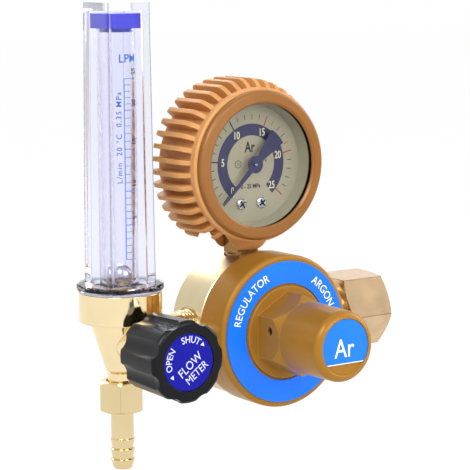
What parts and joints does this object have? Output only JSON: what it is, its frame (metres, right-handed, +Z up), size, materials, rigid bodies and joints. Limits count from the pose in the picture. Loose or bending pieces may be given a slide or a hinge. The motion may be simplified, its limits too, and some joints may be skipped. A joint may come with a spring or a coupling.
{
  "type": "argon flowmeter regulator",
  "caption": "Single-stage gas regulator with a cylinder union nut, bottom-entry pressure gauge in a finned boot, clear float flowmeter, flow knob and hose barb.",
  "frame": {"origin": "centre of the inlet union nut's mouth, on the inlet's axis", "axes": "+X out of the inlet along its axis, -Y the front that the gauge, knob and bonnet face, +Z up along the flow tube"},
  "size_m": [0.1564, 0.091, 0.2021],
  "materials": {
    "brass_polished": "polished",
    "brass_satin": "satin",
    "brass_nut": "satin, finely pitted",
    "ochre_paint": "gloss enamel",
    "boot_rubber": "satin",
    "azure_label": "gloss printed film",
    "deep_blue_label": "gloss printed film",
    "black_knob": "gloss",
    "clear_cover": "clear acrylic",
    "clear_tube": "clear acrylic",
    "blue_plug": "satin",
    "black_rubber": "matte",
    "steel": "bright",
    "copper": "satin copper",
    "bronze": "sintered",
    "nylon": "matte",
    "dial_cream": "satin",
    "pointer_navy": "satin",
    "lens_clear": "clear"
  },
  "bodies": {
    "regulator": {"regulator_body": "brass_satin", "bonnet": "ochre_paint", "ring_label": "azure_label", "cap_label": "azure_label", "adjusting_screw": "steel", "spring_seat": "steel", "main_spring": "steel", "diaphragm": "black_rubber", "slip_ring": "steel", "valve_seat": "brass_satin", "valve_spring": "steel", "inlet_stem": "brass_satin", "inlet_filter": "bronze", "inlet_gasket": "nylon", "connection_nipple": "brass_polished", "flowmeter_body": "brass_polished", "flow_cover": "clear_cover", "cover_gasket": "black_rubber", "flow_tube": "clear_tube", "tube_ring": "black_rubber", "tube_plug": "blue_plug", "needle_gland": "brass_polished", "gland_packing": "nylon", "outlet_nut": "brass_polished", "hose_barb": "brass_polished", "gauge_washer": "copper", "gauge_stem": "ochre_paint", "gauge_case": "steel", "bezel": "ochre_paint", "lens": "lens_clear", "lens_gasket": "black_rubber", "dial_ring": "dial_cream", "dial": "dial_cream", "dial_screws": "steel", "stop_pin": "steel", "movement_frame": "brass_satin", "curved_tube": "copper", "gauge_boot": "boot_rubber"},
    "ball": {"flow_ball": "steel"},
    "needle_carriage": {"needle": "brass_satin"},
    "flow_knob": {"knob": "black_knob", "knob_label": "deep_blue_label", "knob_screw": "steel"},
    "pointer_shaft": {"pointer": "pointer_navy", "pinion": "steel"},
    "sector_gear": {"sector": "brass_satin"},
    "gauge_link": {"link": "brass_satin"},
    "union_nut": {"inlet_nut": "brass_nut"},
    "pressure_valve": {"diaphragm_plate": "brass_satin", "plate_nut": "brass_satin", "valve_pin": "steel"}
  },
  "joints": [
    {"name": "ball_float", "type": "slide", "parent": "regulator", "child": "ball", "axis": [0, 0, 1], "range_m": [0, 0.098]},
    {"name": "needle_travel", "type": "slide", "parent": "regulator", "child": "needle_carriage", "axis": [0, -1, 0], "range_m": [0, 0.0031]},
    {"name": "knob_turn", "type": "hinge", "parent": "needle_carriage", "child": "flow_knob", "pos_m": [-0.1375, -0.04, -0.0012], "axis": [0, -1, 0], "range_deg": [0, 1080]},
    {"name": "pointer_turn", "type": "hinge", "parent": "regulator", "child": "pointer_shaft", "pos_m": [-0.074, 0, 0.0727], "axis": [0, 1, 0], "range_deg": [0, 270]},
    {"name": "sector_turn", "type": "hinge", "parent": "regulator", "child": "sector_gear", "pos_m": [-0.074, 0, 0.05785], "axis": [0, 1, 0], "range_deg": [-33.75, 0]},
    {"name": "link_swing", "type": "hinge", "parent": "sector_gear", "child": "gauge_link", "pos_m": [-0.07056, 0, 0.05294], "axis": [0, 1, 0], "range_deg": [0, 35]},
    {"name": "union_nut_turn", "type": "hinge", "parent": "regulator", "child": "union_nut", "pos_m": [-0.012, 0, 0], "axis": [1, 0, 0], "continuous": true},
    {"name": "valve_stroke", "type": "slide", "parent": "regulator", "child": "pressure_valve", "axis": [0, -1, 0], "range_m": [0, 0.0007], "stiffness_N_per_m": 20000, "deforming": ["main_spring", "valve_spring", "diaphragm"]}
  ],
  "couplings": [
    {"joint": "needle_travel", "follows": "knob_turn", "m_per_rad": 0.00015915},
    {"joint": "pointer_turn", "follows": "sector_turn", "ratio": -8},
    {"joint": "link_swing", "follows": "sector_turn", "ratio": -1}
  ]
}
